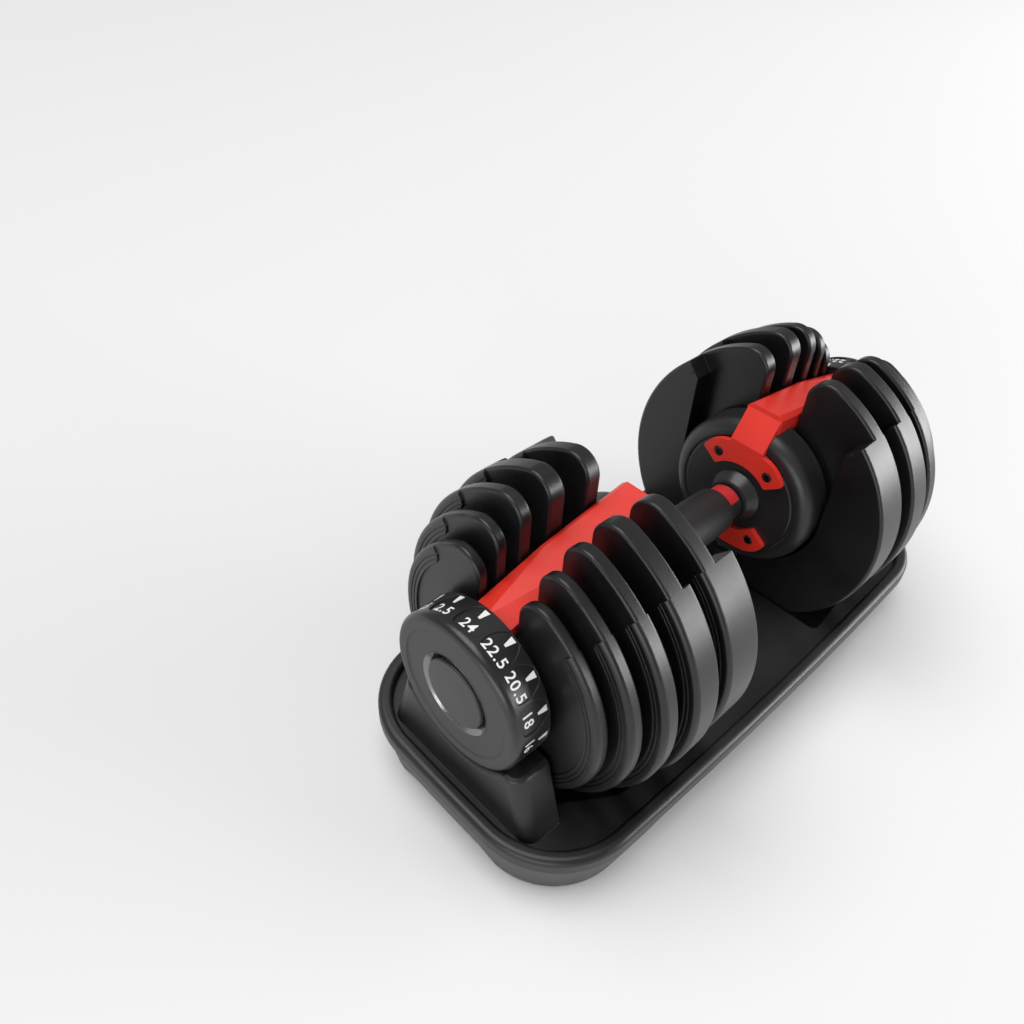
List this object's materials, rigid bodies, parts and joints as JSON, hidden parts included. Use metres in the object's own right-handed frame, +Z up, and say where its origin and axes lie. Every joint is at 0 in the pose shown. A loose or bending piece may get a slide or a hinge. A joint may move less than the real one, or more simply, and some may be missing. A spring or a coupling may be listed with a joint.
{
  "type": "adjustable dumbbell",
  "caption": "Dial-select adjustable dumbbell with slotted round weight plates, resting in its moulded storage tray.",
  "frame": {"origin": "on the ground under the middle of the tray, the centre of the bottom of the bounding box", "axes": "+X along the handle, from the left head to the right head; +Y across the tray; +Z up"},
  "size_m": [0.424, 0.198, 0.2085],
  "materials": {
    "tray_plastic": "fine grain",
    "skirt_plastic": "fine grain",
    "foot_rubber": "matt",
    "screw_steel": "satin",
    "tube_steel": "turned",
    "grip_rubber": "matt",
    "collar_metal": "satin black",
    "inlay_red": "satin",
    "housing_plastic": "satin",
    "bridge_red": "satin",
    "bearing_steel": "zinc plated",
    "dial_plastic": "satin",
    "ring_chrome": "polished",
    "cap_plastic": "satin",
    "sleeve_plastic": "moulded",
    "disc_plastic": "moulded",
    "lock_steel": "stamped",
    "spring_steel": "bright",
    "plate_coated_iron": "fine matt coat"
  },
  "bodies": {
    "base": {"base_tray": "tray_plastic", "base_skirt": "skirt_plastic", "rubber_feet": "foot_rubber", "base_screws": "screw_steel"},
    "handle": {"handle_tube": "tube_steel", "handle_grip": "grip_rubber", "bracket_screws": "screw_steel", "neck_collar_left": "collar_metal", "neck_inlay_left": "inlay_red", "inner_housing_left": "housing_plastic", "housing_cover_left": "housing_plastic", "bridge_left": "bridge_red", "lower_bracket_left": "bridge_red", "bearing_plate_left": "bearing_steel", "retaining_screw_left": "screw_steel", "lock_spring_left": "spring_steel", "neck_collar_right": "collar_metal", "neck_inlay_right": "inlay_red", "inner_housing_right": "housing_plastic", "housing_cover_right": "housing_plastic", "bridge_right": "bridge_red", "lower_bracket_right": "bridge_red", "bearing_plate_right": "bearing_steel", "retaining_screw_right": "screw_steel", "lock_spring_right": "spring_steel"},
    "dial_stack_left": {"dial_left": "dial_plastic", "dial_ring_left": "ring_chrome", "dial_cap_left": "cap_plastic", "spindle_sleeve_left": "sleeve_plastic", "lock_wheel_left": "lock_steel", "selector_disc_1_left": "disc_plastic", "selector_disc_2_left": "disc_plastic", "selector_disc_3_left": "disc_plastic", "selector_disc_4_left": "disc_plastic", "selector_disc_5_left": "disc_plastic"},
    "lock_left": {"lock_slide_left": "lock_steel"},
    "plate_1_left": {"weight_plate_1_left": "plate_coated_iron"},
    "plate_2_left": {"weight_plate_2_left": "plate_coated_iron"},
    "plate_3_left": {"weight_plate_3_left": "plate_coated_iron"},
    "plate_4_left": {"weight_plate_4_left": "plate_coated_iron"},
    "plate_5_left": {"weight_plate_5_left": "plate_coated_iron"},
    "dial_stack_right": {"dial_right": "dial_plastic", "dial_ring_right": "ring_chrome", "dial_cap_right": "cap_plastic", "spindle_sleeve_right": "sleeve_plastic", "lock_wheel_right": "lock_steel", "selector_disc_1_right": "disc_plastic", "selector_disc_2_right": "disc_plastic", "selector_disc_3_right": "disc_plastic", "selector_disc_4_right": "disc_plastic", "selector_disc_5_right": "disc_plastic"},
    "lock_right": {"lock_slide_right": "lock_steel"},
    "plate_1_right": {"weight_plate_1_right": "plate_coated_iron"},
    "plate_2_right": {"weight_plate_2_right": "plate_coated_iron"},
    "plate_3_right": {"weight_plate_3_right": "plate_coated_iron"},
    "plate_4_right": {"weight_plate_4_right": "plate_coated_iron"},
    "plate_5_right": {"weight_plate_5_right": "plate_coated_iron"}
  },
  "joints": [
    {"name": "handle_lift", "type": "slide", "parent": "base", "child": "handle", "axis": [0, 0, 1], "range_m": [0, 0.15]},
    {"name": "dial_turn_left", "type": "hinge", "parent": "handle", "child": "dial_stack_left", "pos_m": [-0.1, 0, 0.118], "axis": [1, 0, 0], "continuous": true},
    {"name": "lock_drop_left", "type": "slide", "parent": "handle", "child": "lock_left", "axis": [0, 0, -1], "range_m": [0, 0.004], "deforming": ["lock_spring_left"]},
    {"name": "plate_1_left_lift", "type": "slide", "parent": "base", "child": "plate_1_left", "axis": [0, 0, 1], "range_m": [0, 0.15]},
    {"name": "plate_2_left_lift", "type": "slide", "parent": "base", "child": "plate_2_left", "axis": [0, 0, 1], "range_m": [0, 0.15]},
    {"name": "plate_3_left_lift", "type": "slide", "parent": "base", "child": "plate_3_left", "axis": [0, 0, 1], "range_m": [0, 0.15]},
    {"name": "plate_4_left_lift", "type": "slide", "parent": "base", "child": "plate_4_left", "axis": [0, 0, 1], "range_m": [0, 0.15]},
    {"name": "plate_5_left_lift", "type": "slide", "parent": "base", "child": "plate_5_left", "axis": [0, 0, 1], "range_m": [0, 0.15]},
    {"name": "dial_turn_right", "type": "hinge", "parent": "handle", "child": "dial_stack_right", "pos_m": [0.1, 0, 0.118], "axis": [1, 0, 0], "continuous": true},
    {"name": "lock_drop_right", "type": "slide", "parent": "handle", "child": "lock_right", "axis": [0, 0, -1], "range_m": [0, 0.004], "deforming": ["lock_spring_right"]},
    {"name": "plate_1_right_lift", "type": "slide", "parent": "base", "child": "plate_1_right", "axis": [0, 0, 1], "range_m": [0, 0.15]},
    {"name": "plate_2_right_lift", "type": "slide", "parent": "base", "child": "plate_2_right", "axis": [0, 0, 1], "range_m": [0, 0.15]},
    {"name": "plate_3_right_lift", "type": "slide", "parent": "base", "child": "plate_3_right", "axis": [0, 0, 1], "range_m": [0, 0.15]},
    {"name": "plate_4_right_lift", "type": "slide", "parent": "base", "child": "plate_4_right", "axis": [0, 0, 1], "range_m": [0, 0.15]},
    {"name": "plate_5_right_lift", "type": "slide", "parent": "base", "child": "plate_5_right", "axis": [0, 0, 1], "range_m": [0, 0.15]}
  ],
  "couplings": [
    {"joint": "lock_drop_left", "follows": "handle_lift", "ratio": 0.026667},
    {"joint": "plate_1_left_lift", "follows": "handle_lift", "ratio": 1},
    {"joint": "plate_2_left_lift", "follows": "handle_lift", "ratio": 1},
    {"joint": "plate_3_left_lift", "follows": "handle_lift", "ratio": 1},
    {"joint": "plate_4_left_lift", "follows": "handle_lift", "ratio": 1},
    {"joint": "plate_5_left_lift", "follows": "handle_lift", "ratio": 1},
    {"joint": "lock_drop_right", "follows": "handle_lift", "ratio": 0.026667},
    {"joint": "plate_1_right_lift", "follows": "handle_lift", "ratio": 1},
    {"joint": "plate_2_right_lift", "follows": "handle_lift", "ratio": 1},
    {"joint": "plate_3_right_lift", "follows": "handle_lift", "ratio": 1},
    {"joint": "plate_4_right_lift", "follows": "handle_lift", "ratio": 1},
    {"joint": "plate_5_right_lift", "follows": "handle_lift", "ratio": 1}
  ]
}
